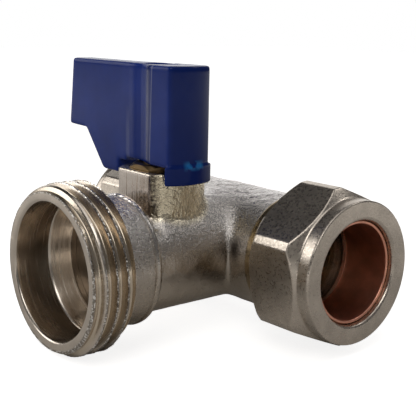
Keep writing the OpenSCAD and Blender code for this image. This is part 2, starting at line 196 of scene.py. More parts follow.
def polygon_field(px, py, corners):
    """Signed distance to a closed outline: the least distance to its sides, negative inside by even-odd crossings."""
    corners = np.asarray(corners, float)
    best = np.full(px.shape, 1e9)
    inside = np.zeros(px.shape, bool)
    for (ax, ay), (bx, by) in zip(corners, np.roll(corners, -1, 0)):
        ex, ey = bx - ax, by - ay
        wx, wy = px - ax, py - ay
        t = np.clip((wx * ex + wy * ey) / (ex * ex + ey * ey), 0, 1)
        best = np.minimum(best, np.hypot(wx - t * ex, wy - t * ey))
        if by != ay:
            inside ^= ((ay > py) != (by > py)) & (px < ax + (py - ay) / (by - ay) * (bx - ax))
    return np.where(inside, -best, best)


def blurred(field, reach):
    """The field averaged along each axis with a bell of the given reach in cells, which rounds edges and fills
    corners."""
    n = int(np.ceil(reach * 2.5))
    weights = np.exp(-0.5 * (np.arange(-n, n + 1) / reach) ** 2)
    weights /= weights.sum()
    for axis in range(3):
        padded = np.pad(field, [(n, n) if k == axis else (0, 0) for k in range(3)], mode="edge")
        size = field.shape[axis]
        field = sum(w * np.take(padded, np.arange(k, k + size), axis) for k, w in enumerate(weights))
    return field


def net(field, origin, step):
    """Quads on the zero level of a field on a grid: each cell that the level crosses gets one point, the mean of its
    edges' crossings, and each crossed grid edge gets the quad of its four cells."""
    shape = np.array(field.shape)
    total = np.zeros((*(shape - 1), 3))
    count = np.zeros(shape - 1)
    quads = []
    crossings = []
    for axis in range(3):
        low = np.take(field, np.arange(0, shape[axis] - 1), axis)
        high = np.take(field, np.arange(1, shape[axis]), axis)
        crossed = (low < 0) != (high < 0)
        t = np.where(crossed, low / np.where(crossed, low - high, 1), 0)
        crossings.append((crossed, low < 0))
        others = [k for k in range(3) if k != axis]
        for u in (0, 1):
            for v in (0, 1):
                cut = [slice(None)] * 3
                cut[others[0]] = slice(u, u + shape[others[0]] - 1)
                cut[others[1]] = slice(v, v + shape[others[1]] - 1)
                hit = crossed[tuple(cut)]
                count += hit
                total[..., axis] += np.where(hit, t[tuple(cut)], 0)
                total[..., others[0]] += hit * u
                total[..., others[1]] += hit * v
    used = count > 0
    index = np.full(used.shape, -1)
    index[used] = np.arange(used.sum())
    cells = np.argwhere(used)
    verts = (cells + total[used] / count[used][:, None]) * step + origin
    for axis, (crossed, low_inside) in enumerate(crossings):
        u, v = (axis + 1) % 3, (axis + 2) % 3
        at = np.argwhere(crossed)
        sign = low_inside[tuple(at.T)]
        keep = (at[:, u] > 0) & (at[:, v] > 0) & (at[:, u] < shape[u] - 1) & (at[:, v] < shape[v] - 1)
        at, sign = at[keep], sign[keep]
        ring = []
        for du, dv in ((-1, -1), (0, -1), (0, 0), (-1, 0)):
            cell = at.copy()
            cell[:, u] += du
            cell[:, v] += dv
            ring.append(index[tuple(cell.T)])
        quad = np.stack(ring, 1)
        quads.append(np.where(sign[:, None], quad, quad[:, ::-1]))
    return verts, np.concatenate(quads)


def grid(low, high, step):
    """Coordinates of a grid's points from its low corner to its high corner."""
    ticks = [np.arange(a, b + step, step) for a, b in zip(low, high)]
    return np.meshgrid(*ticks, indexing="ij")


def unevenness(x, y, z, reach):
    """A gentle wandering of a cast face: a sum of slow waves in three directions, within about one."""
    k = 2 * math.pi / reach
    waves = np.sin(k * (x + 0.4 * y) + 1.3) * np.sin(k * (0.9 * y - 0.3 * z) + 0.4) * np.sin(k * (z + 0.5 * x) + 2.1)
    fine = np.sin(2.3 * k * (x - 0.7 * z) + 0.2) * np.sin(2.1 * k * (y + 0.6 * x) + 1.9)
    return waves + 0.45 * fine


# Finishes. Places and depths are in millimetres, noise scales are features per metre.


class Wiring:
    """Short calls for the nodes of one material or world. They take sockets or numbers and give sockets."""

    def __init__(self, tree, coordinates):
        self.nodes, self.links = tree.nodes, tree.links
        self.place = self.nodes.new("ShaderNodeTexCoord").outputs[coordinates]
        split = self.nodes.new("ShaderNodeSeparateXYZ")
        self.links.new(self.place, split.inputs["Vector"])
        self.axes = split.outputs["X"], split.outputs["Y"], split.outputs["Z"]

    def feed(self, socket, value):
        """Links a socket to another, or sets its number or colour."""
        if isinstance(value, bpy.types.NodeSocket):
            self.links.new(value, socket)
        else:
            socket.default_value = value

    def calc(self, operation, first, second=0.0):
        """One arithmetic step."""
        node = self.nodes.new("ShaderNodeMath")
        node.operation = operation
        self.feed(node.inputs[0], first)
        self.feed(node.inputs[1], second)
        return node.outputs[0]

    def times(self, product, *others):
        """The product of all the values."""
        for value in others:
            product = self.calc("MULTIPLY", product, value)
        return product

    def plus(self, first, second):
        """The sum of two values."""
        return self.calc("ADD", first, second)

    def most(self, first, second):
        """The higher of two values."""
        return self.calc("MAXIMUM", first, second)

    def without(self, value, whole=1.0):
        """What is left of the whole without the value."""
        return self.calc("SUBTRACT", whole, value)

    def across(self, first, second):
        """Distance from an axis: the root of the sum of two squared coordinates."""
        return self.calc("SQRT", self.plus(self.times(first, first), self.times(second, second)))

    def vector(self, operation, second=None):
        """One step on the place's vector, which gives a number."""
        node = self.nodes.new("ShaderNodeVectorMath")
        node.operation = operation
        self.links.new(self.place, node.inputs[0])
        if second is not None:
            node.inputs[1].default_value = second
        return node.outputs["Value"]

    def spread(self, value, low, high, to_low=0.0, to_high=1.0):
        """Maps low..high of a value onto to_low..to_high."""
        node = self.nodes.new("ShaderNodeMapRange")
        for key, number in (("From Min", low), ("From Max", high), ("To Min", to_low), ("To Max", to_high)):
            node.inputs[key].default_value = number
        self.links.new(value, node.inputs["Value"])
        return node.outputs["Result"]

    def past(self, value, start, full, to_start=0.0, to_full=1.0):
        """A change between two places."""
        return self.spread(value, start * MM, full * MM, to_start, to_full)

    def band(self, value, centre, half, soft, strength=1.0):
        """A stripe across a coordinate: full within half of its centre, fading over soft."""
        away = self.calc("ABSOLUTE", self.plus(value, -centre * MM))
        return self.past(away, half, half + soft, strength, 0.0)

    def rays(self):
        """Whether the ray comes from the camera, and whether from a mirroring or a clear surface."""
        path = self.nodes.new("ShaderNodeLightPath").outputs
        return path["Is Camera Ray"], path["Is Glossy Ray"], path["Is Transmission Ray"]


class Finish(Wiring):
    """A node material with its shader. Its patterns read the piece's own coordinates."""

    def __init__(self, name, metallic=0.0):
        self.material = bpy.data.materials.new(name)
        self.material.use_nodes = True
        super().__init__(self.material.node_tree, "Object")
        self.shader = self.nodes["Principled BSDF"]
        self.set("Metallic", metallic)

    def set(self, name, value):
        """Feeds one of the shader's inputs."""
        self.feed(self.shader.inputs[name], value)

    def noise(self, scale, detail=1.0, rough=0.55, stretch=None):
        """Noise with features of about 1/scale metres; stretch scales the pattern along each axis."""
        coords = self.place
        if stretch is not None:
            mapping = self.nodes.new("ShaderNodeMapping")
            mapping.inputs["Scale"].default_value = stretch
            self.links.new(coords, mapping.inputs["Vector"])
            coords = mapping.outputs["Vector"]
        tex = self.nodes.new("ShaderNodeTexNoise")
        for key, number in (("Scale", scale), ("Detail", detail), ("Roughness", rough)):
            tex.inputs[key].default_value = number
        self.links.new(coords, tex.inputs["Vector"])
        return tex.outputs["Fac"]

    def bump(self, height, depth, strength, below=None):
        """Relief of the given depth from a height, on top of the relief below."""
        node = self.nodes.new("ShaderNodeBump")
        node.inputs["Distance"].default_value = depth * MM
        self.feed(node.inputs["Strength"], strength)
        self.links.new(height, node.inputs["Height"])
        if below is not None:
            self.links.new(below, node.inputs["Normal"])
        return node.outputs["Normal"]

    def tinted(self, factor, below, colour):
        """A colour laid over another socket's colour by a factor."""
        node = self.nodes.new("ShaderNodeMix")
        node.data_type = "RGBA"
        self.links.new(factor, node.inputs["Factor"])
        self.feed(node.inputs["A"], below)
        node.inputs["B"].default_value = (*colour, 1)
        return node.outputs["Result"]

    def clouds(self, colour, scale, detail, thin, thick, low=0.35, high=0.7):
        """A colour in slow clouds, from its thin to its thick share."""
        drift = self.spread(self.noise(scale, detail), low, high)
        return self.tinted(drift, (*scaled(colour, thin), 1), scaled(colour, thick))


def scaled(colour, k):
    """A colour made lighter or darker, with white as its limit."""
    return tuple(min(1.0, c * k) for c in colour)


def cast_plating(colour):
    """Plated sand-cast skin: bright open grain above and smoother below, a ridge along the run's top whitened by a
    painted highlight, painted shade darkening the underside, a leathery yellowish neck with the upright tool lines of
    its milled face, and painted shade in a broken strip beside the milled face and in a patch beside the crease."""
    cast = Finish("cast_plating", metallic=1.0)
    x, y, z = cast.axes
    from_stem = cast.across(x, cast.plus(y, -STEM_Y * MM))
    on_neck = cast.times(cast.past(from_stem, 6.9, 7.8, 1.0, 0.0), cast.past(z, 5.2, 6.8))
    milled = cast.times(on_neck, cast.past(y, -21.55, -21.68))
    upper = cast.past(z, -0.5, 3.0, 0.22, 1.0)
    crown = cast.times(cast.past(z, 7.8, 9.0), cast.without(on_neck))
    on_collar = cast.past(y, -22.8, -23.6)
    smooth_bead = cast.band(y, -24.1, 0.6, 0.3, 0.8)
    skin = cast.times(cast.without(milled), cast.without(smooth_bead))

    tone = cast.clouds(colour, 260.0, 2.0, 0.84, 1.06, high=0.68)
    tone = cast.tinted(cast.times(upper, 0.55), tone, (0.55, 0.53, 0.51))
    # painted highlight: the run's top is whitened as if lit from above
    tone = cast.tinted(cast.times(crown, 0.8), tone, (0.84, 0.79, 0.76))
    tone = cast.tinted(cast.times(on_neck, 0.9), tone, (0.80, 0.70, 0.50))
    # painted shade: the skin darkens to a warm brown towards the underside
    tone = cast.tinted(cast.past(z, -9.5, 2.0, 0.75, 0.0), tone, (0.40, 0.32, 0.225))
    # painted shade: a broken dark strip on the neck beside the milled face
    beside_face = cast.times(cast.past(x, 4.0, 4.3), cast.past(x, 4.8, 5.4, 1.0, 0.0), cast.past(y, -18.5, -19.5))
    broken = cast.spread(cast.noise(1500.0), 0.38, 0.62, 1.0, 0.35)
    tone = cast.tinted(cast.times(beside_face, on_neck, broken), tone, (0.07, 0.055, 0.045))
    # painted shade: a dark patch on the run beside its crease with the branch
    by_crease = cast.times(cast.band(x, 10.4, 0.3, 1.4, 0.9), cast.band(z, 1.4, 0.7, 2.6), cast.band(y, -9.6, 0.7, 0.6))
    tone = cast.tinted(by_crease, tone, (0.05, 0.04, 0.032))
    cast.set("Base Color", cast.tinted(milled, tone, (0.47, 0.415, 0.365)))

    grain = cast.noise(1700.0, 3.0, 0.7)
    rough = cast.plus(cast.spread(grain, 0.3, 0.7, 0.17, 0.29), cast.times(crown, -0.06))
    cast.set("Roughness", cast.plus(rough, cast.times(on_collar, 0.05)))

    grainy = cast.times(upper, cast.without(cast.times(on_neck, 0.5), 0.8), skin)
    tool_lines = cast.noise(1.0, 2.0, 0.6, (1900.0, 60.0, 60.0))
    relief = cast.bump(cast.noise(520.0), 0.08, 0.4)
    relief = cast.bump(grain, 0.27, grainy, relief)
    relief = cast.bump(cast.noise(750.0, 2.0), 0.5, cast.times(crown, 0.9), relief)
    relief = cast.bump(cast.noise(850.0, 3.0), 0.34, cast.times(on_neck, 0.8, skin), relief)
    relief = cast.bump(tool_lines, 0.17, cast.times(milled, 0.7), relief)
    cast.set("Normal", relief)
    return cast.material


def turned_plating(colour, axis):
    """Plated turned faces: fine tool lines round the axis. On the run's ends the shoulder has a golden brass tone,
    darkened by a painted dark reflection. On the outlet the thread's crests and the face's edge are worn and dark, with
    bright dots of painted glints."""
    metal = Finish("turned_plating_" + axis, metallic=1.0)
    x, y, z = metal.axes
    tone = metal.clouds(colour, 330.0, 2.0, 0.88, 1.05)
    stretch = {"outlet": (90.0, 2600.0, 90.0), "run": (2600.0, 90.0, 90.0)}[axis]
    tool_lines = metal.noise(1.0, 1.0, 0.5, stretch)
    metal.set("Roughness", metal.spread(tool_lines, 0.3, 0.7, 0.17, 0.29))
    relief = metal.bump(metal.noise(900.0), 0.03, 0.3, metal.bump(tool_lines, 0.003, 0.2))
    if axis == "run":
        # painted dark reflection: the shoulder's brass tone is darkened
        shoulder = metal.band(metal.calc("ABSOLUTE", x), 14.6, 1.6, 0.2, 0.9)
        tone = metal.tinted(shoulder, tone, (0.36, 0.27, 0.15))
    else:
        radius = metal.across(x, z)
        crest = metal.past(radius, 12.96, 13.10)
        lip = metal.times(metal.past(radius, 11.75, 11.9), metal.past(y, -36.9, -36.6, 1.0, 0.0))
        worn = metal.most(crest, lip)
        # painted glints: bright dots of near-white on the dark crests and the face's edge
        painted_glints = metal.spread(metal.noise(3000.0), 0.50, 0.62, 0.0, 0.9)
        roots = metal.times(metal.past(radius, 11.80, 11.95), metal.past(radius, 12.25, 12.9, 0.8, 0.0))
        tone = metal.tinted(roots, tone, (0.66, 0.56, 0.43))
        tone = metal.tinted(metal.times(worn, 0.85), tone, (0.20, 0.175, 0.15))
        tone = metal.tinted(metal.times(worn, painted_glints), tone, (0.96, 0.93, 0.88))
        relief = metal.bump(metal.noise(2300.0), 0.08, worn, relief)
    metal.set("Base Color", tone)
    metal.set("Normal", relief)
    return metal.material


def nut_plating(colour):
    """Satin plating of the nuts: a fine even grain, a few shallow dents and darker clouds."""
    nut = Finish("nut_plating", metallic=1.0)
    nut.set("Base Color", nut.clouds(colour, 300.0, 2.0, 0.86, 1.05))
    grain = nut.noise(2400.0, 1.0, 0.5)
    nut.set("Roughness", nut.spread(grain, 0.3, 0.7, 0.24, 0.36))
    dents = nut.bump(nut.noise(480.0), 0.04, 0.35)
    nut.set("Normal", nut.bump(grain, 0.04, 0.5, dents))
    return nut.material


def plain_metal(name, colour, rough, grain=900.0, depth=0.01):
    """Bare metal with a fine grain and a little tarnish."""
    metal = Finish(name, metallic=1.0)
    metal.set("Base Color", metal.clouds(colour, 400.0, 4.0, 0.86, 1.06))
    fine = metal.noise(grain)
    metal.set("Roughness", metal.spread(fine, 0.3, 0.7, rough - 0.03, rough + 0.04))
    metal.set("Normal", metal.bump(fine, depth, 0.6))
    return metal.material


def soft_solid(name, colour, rough):
    """Sealing plastic or rubber with a faint moulded grain."""
    seal = Finish(name)
    seal.set("Base Color", seal.clouds(colour, 500.0, 3.0, 0.9, 1.1, low=0.3))
    seal.set("Roughness", rough)
    seal.set("Normal", seal.bump(seal.noise(1200.0), 0.01, 0.5))
    return seal.material


def lever_plastic(colour):
    """Moulded blue plastic: glossy on the hub's front and duller on the facet and wing, with a faint ripple, painted
    shade on the hub's end and in a strip beside the hub, painted highlights as a pale line along the hub's edge and low
    on the wing, and a painted highlight on the skirt's ledge."""
    lever = Finish("lever_plastic")
    x, y, z = lever.axes
    facet = lever.past(x, 6.4, 7.2, 1.0, 0.0)
    tone = lever.clouds(colour, 150.0, 2.0, 0.85, 1.12, low=0.3, high=0.72)
    # painted shade: the hub's round end is darkened
    tone = lever.tinted(lever.times(lever.without(facet), 0.7), tone, scaled(colour, 0.55))
    # painted shade: a dark strip beside the hub
    tone = lever.tinted(lever.band(x, 1.3, 0.5, 0.4, 0.6), tone, scaled(colour, 0.35))
    # painted highlight: a pale slanted line along the hub's edge
    slanted = lever.plus(x, lever.times(z, -0.035))
    painted_edge_highlight = lever.times(lever.band(slanted, 1.4, 0.05, 0.12, 0.7), lever.past(z, 15.0, 15.8))
    tone = lever.tinted(painted_edge_highlight, tone, (0.20, 0.22, 0.34))
    # painted highlight: a pale band low on the wing, fading upwards
    painted_streak_highlight = lever.times(lever.band(x, -6.4, 0.2, 0.5, 0.9), lever.past(z, 19.0, 23.5, 0.4, 0.0))
    tone = lever.tinted(painted_streak_highlight, tone, (0.16, 0.18, 0.30))
    scratches = lever.noise(700.0, 2.0, 0.5)
    # painted highlight: a light blue patch on the skirt's ledge, broken by fine noise
    over_skirt = lever.times(lever.band(z, 15.2, 0.3, 0.6), lever.band(y, -16.0, 1.3, 0.8), lever.past(x, 6.0, 6.6))
    painted_ledge_highlight = lever.times(over_skirt, lever.spread(scratches, 0.42, 0.50, 0.0, 0.9))
    lever.set("Base Color", lever.tinted(painted_ledge_highlight, tone, (0.02, 0.17, 0.45)))
    lever.set("Roughness", lever.plus(lever.times(facet, 0.06), lever.spread(scratches, 0.35, 0.75, 0.13, 0.19)))
    lever.set("IOR", 1.46)
    lever.set("Specular IOR Level", lever.without(lever.band(x, -2.2, 2.0, 1.2, 0.105), 0.13))
    lever.set("Normal", lever.bump(lever.noise(230.0), 0.04, 0.25))
    return lever.material


def sizes():
    """The sizes that the panel shows."""
    return bpy.context.scene.tee_valve_sizes


def colours():
    """The colours that the panel shows."""
    return bpy.context.scene.tee_valve_colours


def made(name, build):
    """A material by name, built on first use."""
    return bpy.data.materials.get(name) or build()


def plated_skin():
    return made("cast_plating", lambda: cast_plating(colours().casting))


def plated_outlet():
    return made("turned_plating_outlet", lambda: turned_plating(colours().nickel, "outlet"))


def plated_run():
    return made("turned_plating_run", lambda: turned_plating(colours().nickel, "run"))


def plated_nut():
    return made("nut_plating", lambda: nut_plating(colours().nickel))


def metal_named(name, colour, rough, *grain):
    return made(name, lambda: plain_metal(name, colour, rough, *grain))


def seal_named(name, colour, rough):
    return made(name, lambda: soft_solid(name, colour, rough))


# Shapes


def casting_field(x, y, z, step):
    """Distance to the casting: the run's arm, the branch and the neck joined and blurred into each other,
    then cut by the milled face, the rim and the planes where the turned parts start."""
    neck_r, neck_half_width, neck_edge = 6.9, 6.35, 1.2
    milled_out, milled_r, milled_foot = 5.5, 8.17, 5.6
    stop_outer, stop_inner, stop_top, stop_foot = 6.85, 5.35, 15.2, 10
    softening = 0.42
    across_run, across_branch, from_stem = np.hypot(y, z), np.hypot(x, z), np.hypot(x, y - STEM_Y)
    ridge = rise(z, 7.6, 1.2) * (from_stem > 7.6)
    wander = 0.05 * unevenness(x, y, z, 5.2) + 0.24 * ridge * unevenness(x, y, z, 2.3)
    run = np.maximum(across_run - RUN_R, np.abs(x) - CAST_ARM_END)
    groove = 0.95 * rise(-y, 20.7, 0.5) * rise(z, 4.6, 1.4)
    branch = np.maximum(across_branch - BRANCH_R + groove, y)
    neck = np.maximum(soft_max(from_stem - neck_r, np.abs(x) - neck_half_width, neck_edge), -z)
    fillet = 0.3 + 1.9 * rise(z, 1.0, 3.5)
    solid = np.minimum(soft_min(run, branch, fillet), neck)
    solid = blurred(np.clip(solid, -2.0, 2.0) + wander, softening / step)
    solid = solid + 0.09 * ridge * unevenness(x, y, z, 1.7)
    milling_cutter = np.maximum.reduce([y - STEM_Y + milled_out, milled_r - across_branch, milled_foot - z])
    solid = np.maximum.reduce([solid, z - NECK_TOP, -milling_cutter])
    lever_stop = np.maximum.reduce([
        from_stem - stop_outer, stop_inner - from_stem, 2.15 - x, 4.05 - (y - STEM_Y), z - stop_top, stop_foot - z])
    solid = np.minimum(solid, lever_stop)
    return np.maximum.reduce([solid, np.abs(x) - CAST_ARM_END, -y - CAST_BRANCH_END])


def casting_bores(x, y, z):
    """Distance to what is bored out: the run, the port, the ball's chamber, the stem's bore and the gland's chamber."""
    run_r, socket_r, socket_start = 6.4, 8.4, 13.05
    port_r, chamber_r, chamber_start = 4.75, 7.5, -9.25
    foot_r, foot_top, stem_r, gland_r, gland_floor = 4.1, 8.8, 3.05, 4.35, 10.4
    across_branch, from_stem = np.hypot(x, z), np.hypot(x, y - STEM_Y)
    run = np.maximum(np.hypot(y, z) - np.where(np.abs(x) < socket_start, run_r, socket_r), np.abs(x) - 30)
    port = np.maximum(across_branch - port_r, y)
    chamber = np.maximum(across_branch - chamber_r, y - chamber_start)
    foot = np.maximum.reduce([from_stem - foot_r, -z, z - foot_top])
    stem = np.maximum(from_stem - stem_r, -z)
    gland = np.maximum(from_stem - gland_r, gland_floor - z)
    return np.minimum.reduce([run, port, chamber, foot, stem, gland])


def thread_radius(s, angles, pitch, crest, root):
    """The outlet thread: its crests run on a right-hand helix, so at distance s and angle a the phase is
    (s - first crest - pitch a / 2 pi) / pitch. The radius goes from root to crest as a raised cosine of it to the
    power 3.2, which leaves the roots wide and round and the crests narrow, and a wave round the crests wears them
    unevenly. A lead-in at the face and a run-out at the collar cut it down."""
    first_crest, thread_end, sleeve_r, wear = 35.43, 29.45, 10.3, 0.05
    lead_in_slope, run_out_slope = 0.56, 2.9
    phase = (s[:, None] - first_crest - pitch * angles[None, :] / (2 * np.pi)) / pitch
    wave = np.minimum(1.0, 1.04 * (0.5 + 0.5 * np.cos(2 * np.pi * phase)))
    worn = wear * (1 + np.sin(61 * angles + 2 * np.sin(7 * angles)) * np.sin(37 * angles + 1.1))
    form = root + (crest - root) * wave**3.2 - worn * wave**8
    lead_in = 12.13 + (37.13 - s[:, None]) * lead_in_slope
    run_out = 10.35 + (s[:, None] - thread_end) * run_out_slope
    return np.maximum(soft_min(soft_min(form, lead_in, 0.15), run_out, 0.3), sleeve_r)


def nut_radius(x, angles, turn):
    """The nut's outside at distance x: the least of the hexagon, its cut corners and the two cones, rounded where they
    meet, and never below the collar."""
    half_flats, corner_r = 11.5, 12.87
    front_end, front_r, front_slope = 25.65, 11.25, 1.22
    rear_r, rear_slope = 11.75, 1.05
    from_corner = (angles - turn + np.pi / 6) % (np.pi / 3) - np.pi / 6
    from_flat = (angles - turn) % (np.pi / 3) - np.pi / 6
    flats = half_flats / np.cos(from_flat)
    corners = corner_r / np.cos(from_corner)
    outline = soft_min(flats, corners, 0.12)[None, :]
    front_cone = front_r + (front_end - x[:, None]) * front_slope
    rear_cone = rear_r + (x[:, None] - NUT_REAR) * rear_slope
    shape = soft_min(soft_min(outline, front_cone, 0.16), rear_cone, 0.2)
    return soft_max(shape, np.full_like(shape, COLLAR_R), 0.22)


# Operators


class TEEVALVE_OT_casting(bpy.types.Operator):
    """The cast body: the run's arms, the branch and the neck with its milled face"""

    bl_idname = "tee_valve.casting"
    bl_label = "Casting"

    def execute(self, context):
        step = sizes().cell
        low, high = (-17.0, -25.2, -11.0), (17.0, 11.0, 16.6)
        x, y, z = grid(low, high, step)
        field = np.maximum(casting_field(x, y, z, step), -casting_bores(x, y, z))
        verts, faces = net(field, np.array(low), step)
        obj = put_mesh("cast_body", verts, faces, plated_skin(), 50)
        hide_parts("valve_body")
        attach(obj, "valve")
        return {"FINISHED"}


class TEEVALVE_OT_outlet(bpy.types.Operator):
    """The turned collar and threaded sleeve with its mouth"""

    bl_idname = "tee_valve.outlet"
    bl_label = "Outlet"

    def execute(self, context):
        size = sizes()
        angles = round_steps()
        bead = [(23.5, 8.0), (23.5, 9.85), (23.7, 10.15), (23.95, 10.4), (24.3, 10.46), (24.6, 10.4), (24.75, 10.2)]
        collar = dense(bead + [
            (24.95, 10.3), (29.6, 10.3), (29.6, 10.15), (27.5, 9.4), (24.75, 9.25), (24.7, 8.0)], 0.25)
        self.piece("outlet_collar", collar[:, 0], collar[:, 1:] * np.ones_like(angles), angles, plated_skin())
        teeth = np.linspace(29.5, OUTLET_FACE, 165)
        face = np.concatenate([[(OUTLET_FACE, 12.0)], arc(OUTLET_FACE - 0.5, 11.0, 0.5, 0, -90, 8)])
        bore = dense([
            face[-1], (31.05, 10.52), (30.95, 10.4), (27.8, 9.1), (27.7, 9.05), (24.8, 9.05),
            (24.8, 7.5), (23.6, 7.5), (23.6, 8.8), (24.8, 9.3), (29.5, 10.2)], 0.3)
        inner = np.concatenate([face[:-1], bore])
        radius = np.concatenate([
            thread_radius(teeth, angles, size.pitch, size.crest, size.root),
            inner[:, 1:] * np.ones_like(angles),
        ])
        self.piece("outlet_sleeve", np.concatenate([teeth, inner[:, 0]]), radius, angles, plated_outlet())
        return {"FINISHED"}

    def piece(self, name, along, radius, angles, material):
        """One of the outlet's turned pieces, which belongs to the body."""
        faces = loop_faces(len(along), len(angles))
        obj = put_mesh(name, turned(along, radius, "outlet", angles), faces, material, 40)
        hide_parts("valve_body")
        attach(obj, "valve")


class TEEVALVE_OT_run_arms(bpy.types.Operator):
    """The run's threaded ends, their flared mouths and the bore between them"""

    bl_idname = "tee_valve.run_arms"
    bl_label = "Run ends"

    def execute(self, context):
        angles = round_steps()
        thread_start, thread_end, thread_r, thread_depth = 16.4, 21.9, 10.0, 1.1
        half = dense([
            (12.9, 8.6), (12.9, 9.4), (13.0, 9.64), (13.25, 9.76), (CAST_ARM_END, 9.76), (16.2, 9.0),
            (thread_start, 9.0), (thread_start, 10.1), (22.0, 10.1), (22.6, 9.5), (22.6, 9.3), (18.0, PIPE_R),
            (13.2, PIPE_R), (13.2, 6.4), (12.9, 6.4), (12.9, 8.2)], 0.3)
        distance = half[:, :1]
        wave = 0.5 - 0.5 * np.cos(2 * np.pi * distance / sizes().pitch - angles)
        radius = half[:, 1:] * np.ones_like(angles)
        threaded = (distance > thread_start) & (distance < thread_end) & (radius > thread_r)
        radius = np.where(threaded, radius - thread_depth * wave, radius)
        faces = loop_faces(len(half), len(angles))
        for side, name in ((1, "right"), (-1, "left")):
            points = turned(side * half[:, 0], radius, "run", angles)
            obj = put_mesh(name + "_run_end", points, faces, plated_run(), 40)
            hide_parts("valve_body")
            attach(obj, "valve")
        return {"FINISHED"}


class TEEVALVE_OT_nuts(bpy.types.Operator):
    """Both compression nuts: hexagon, cut corners, cones, collar and the hole's rounded edge"""

    bl_idname = "tee_valve.nuts"
    bl_label = "Compression nuts"

    def execute(self, context):
        angles = round_steps(2)
        body = np.concatenate([
            np.linspace(NUT_REAR, 17.7, 12), np.linspace(17.9, 22.8, 10),
            np.linspace(23.0, 26.1, 30), np.linspace(26.4, 27.9, 5)])
        rim = np.concatenate([
            arc(27.85, 10.96, 0.24, 90, 0, 5)[1:], dense([(NUT_FACE, 10.9), (NUT_FACE, 8.76)], 0.5),
            arc(27.55, 8.72, 0.54, 0, -90, 7)])
        hole = dense([
            (27.3, 8.17), (27.15, 8.16), (25.35, 8.15), (23.4, 10.15), (16.3, 10.15), (NUT_REAR, 10.3),
            (NUT_REAR, 11.4)], 0.6)
        inside = np.concatenate([rim, hole])
        turn = sizes().hex_turn
        faces = loop_faces(len(body) + len(inside), len(angles))
        for side, name, out, corner in ((1, "right", 0.0, math.pi - turn), (-1, "left", LEFT_OUT, turn)):
            radius = np.concatenate([nut_radius(body, angles, corner), inside[:, 1:] * np.ones_like(angles)])
            along = side * (np.concatenate([body, inside[:, 0]]) + out)
            obj = put_mesh(name + "_nut_plated", turned(along, radius, "run", angles), faces, plated_nut(), 40)
            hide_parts(name + "_nut")
            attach(obj, name + "_cap")
        return {"FINISHED"}


class TEEVALVE_OT_olives(bpy.types.Operator):
    """Both copper olives, with rounded ends"""

    bl_idname = "tee_valve.olives"
    bl_label = "Olives"

    def execute(self, context):
        copper = metal_named("olive_copper", colours().copper, 0.34, 900.0, 0.0005)
        angles = round_steps()
        profile = np.concatenate([
            [(18.85, 7.6), (18.9, 7.74), (22.0, 8.95), (22.2, 9.0)],
            [(24.2, 9.0), (24.4, 8.9), (25.3, 8.08), (25.5, 8.05)],
            arc(27.0, 7.85, 0.2, 90, 0, 5), arc(27.0, 7.75, 0.2, 0, -90, 5), [(19.0, PIPE_R)]])
        loop = dense(profile, 0.5)
        radius = loop[:, 1:] * np.ones_like(angles)
        faces = loop_faces(len(loop), len(angles))
        for side, name, out in ((1, "right", 0.0), (-1, "left", LEFT_OUT)):
            points = turned(side * (loop[:, 0] + out), radius, "run", angles)
            obj = put_mesh(name + "_olive_copper", points, faces, copper, 40)
            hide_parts(name + "_olive")
            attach(obj, name + "_ring")
        return {"FINISHED"}


class TEEVALVE_OT_lever(bpy.types.Operator):
    """The moulded lever: hub, facets, wing, tab and skirt with softened edges"""

    bl_idname = "tee_valve.lever"
    bl_label = "Lever"

    def execute(self, context):
        step = sizes().lever_cell
        low, high = (-25.6, -9.2, 11.4), (9.2, 9.2, 31.4)
        x, y, z = grid(low, high, step)
        side = polygon_field(x, z, [
            (12, 14.8), (12, 30.3), (-23.1, 30.3), (-24.4, 18.7), (-19.1, 18.5), (-14.1, 12.35),
            (-13.6, 12.0), (-9.1, 12.0), (-9.1, 14.2), (-6.9, 14.2), (-6.9, 14.8)])
        plan_half = [
            (12, 4.0), (2.2, 4.0), (1.3, 3.86), (-2.0, 2.62), (-3.9, 2.33), (-6.0, 2.17), (-8.8, 2.1), (-24.5, 2.1)]
        plan = polygon_field(x, y, plan_half + [(px, -py) for px, py in reversed(plan_half)])
        hub_r, skirt_r, skirt_inner_r = 7.9, 8.1, 7.15
        skirt_start, skirt_top, skirt_foot, hub_foot = 6.5, 15.2, 12.2, 14.8
        well_r, well_floor, square_half, square_top = 2.6, 23.0, 2.15, 21.1
        across = np.hypot(x, y)
        round_end = np.where(x > 0, across - hub_r, -9.0)
        handle = np.maximum.reduce([side, plan, round_end])
        skirt_hollow = np.maximum(across - skirt_inner_r, z - hub_foot)
        skirt = np.maximum.reduce([across - skirt_r, skirt_start - x, z - skirt_top, skirt_foot - z, -skirt_hollow])
        screw_well = np.maximum(across - well_r, well_floor - z)
        stem_square = np.maximum.reduce([np.abs(x) - square_half, np.abs(y) - square_half, z - square_top])
        stem_round = np.maximum(across - 3.1, z - 14.85)
        handle = blurred(np.clip(handle, -1.2, 1.2), 0.26 / step)
        skirt = blurred(np.clip(skirt, -0.6, 0.6), 0.1 / step)
        hollows = np.minimum.reduce([screw_well, stem_square, stem_round])
        verts, faces = net(np.maximum(np.minimum(handle, skirt), -hollows), np.array(low), step)
        verts[:, 1] += STEM_Y
        plastic = made("lever_plastic", lambda: lever_plastic(colours().lever))
        obj = put_mesh("lever_moulding", verts, faces, plastic, 60)
        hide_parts("lever_handle")
        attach(obj, "lever")
        return {"FINISHED"}


